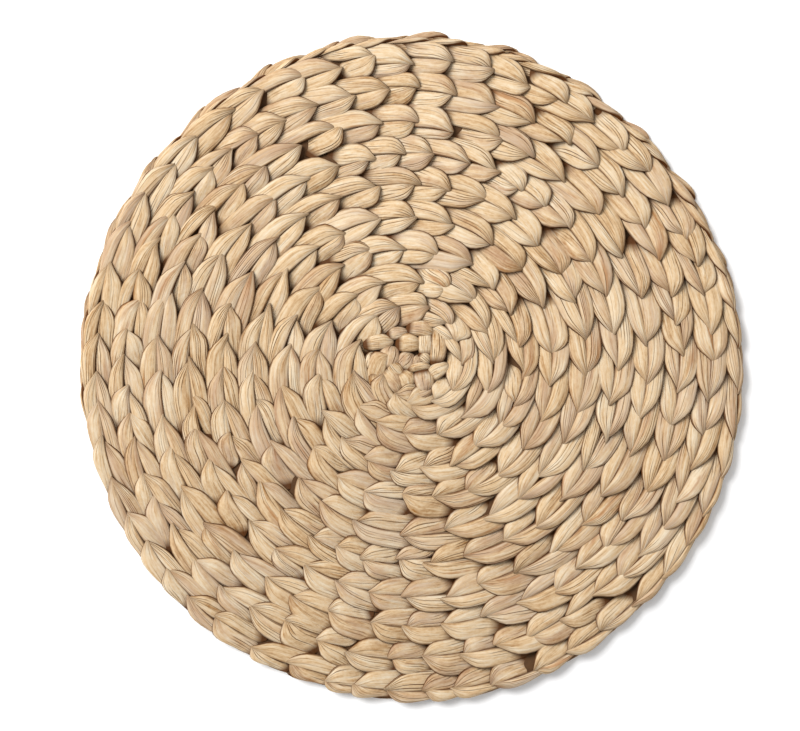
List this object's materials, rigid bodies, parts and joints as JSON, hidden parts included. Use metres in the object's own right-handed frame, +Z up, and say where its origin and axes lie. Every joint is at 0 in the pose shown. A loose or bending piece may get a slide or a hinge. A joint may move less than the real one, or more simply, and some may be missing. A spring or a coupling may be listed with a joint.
{
  "type": "round water hyacinth placemat",
  "caption": "Round flat placemat of plaited water hyacinth stems, wound in a spiral with ridged rows and a scalloped edge.",
  "frame": {"origin": "middle of the outline's box, on the plane that the mat lies on", "axes": "+Z up through the mat's thickness, +Y towards the side at the top of the picture"},
  "size_m": [0.3806, 0.381, 0.009],
  "materials": {
    "straw": "dry plaited water hyacinth stem, dull papery sheen"
  },
  "bodies": {
    "root": {"mat": "straw"}
  },
  "joints": []
}
